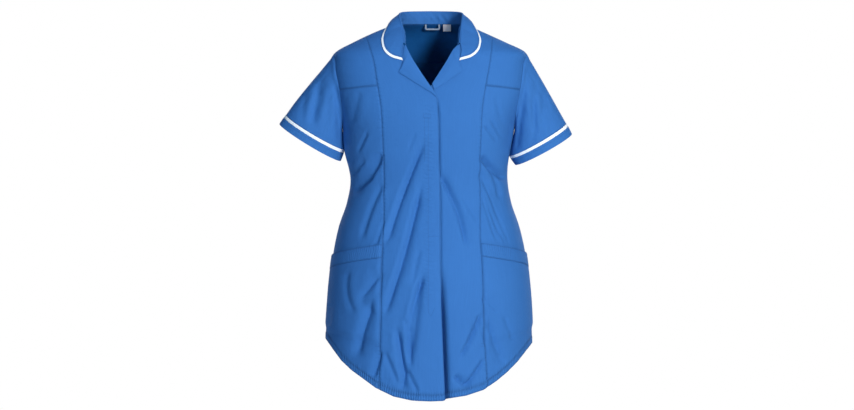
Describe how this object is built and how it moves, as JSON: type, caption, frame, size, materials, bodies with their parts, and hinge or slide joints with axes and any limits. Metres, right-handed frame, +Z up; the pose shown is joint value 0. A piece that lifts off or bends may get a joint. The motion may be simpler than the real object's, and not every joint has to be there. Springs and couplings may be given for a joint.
{
  "type": "maternity tunic",
  "caption": "Short-sleeved maternity tunic, filled out and hollow, with a turned collar with lapels, contrast edging, front pockets and a curved hem.",
  "frame": {"origin": "midway between the two shoulders, about level with the middle of the shoulder seams, where the wearer holds the tunic up", "axes": "+Z up along the body, -Y the front, +X the wearer's left"},
  "size_m": [0.6145, 0.3366, 0.818],
  "materials": {
    "cloth": "plain-woven polyester cotton",
    "trim": "white woven edging",
    "tape": "pale woven tape"
  },
  "bodies": {
    "root": {"back": "cloth", "back_yoke": "cloth", "care_label": "tape", "collar": "cloth", "collar_trim": "trim", "cuff_left": "cloth", "cuff_right": "cloth", "front_left": "cloth", "front_right": "cloth", "front_yoke_left": "cloth", "front_yoke_right": "cloth", "hanger_loop": "tape", "lapel_left": "cloth", "lapel_right": "cloth", "pocket_band_left": "cloth", "pocket_band_right": "cloth", "pocket_left": "cloth", "pocket_right": "cloth", "side_front_left": "cloth", "side_front_right": "cloth", "sleeve_left": "cloth", "sleeve_right": "cloth", "sleeve_trim_left": "trim", "sleeve_trim_right": "trim"}
  },
  "joints": []
}
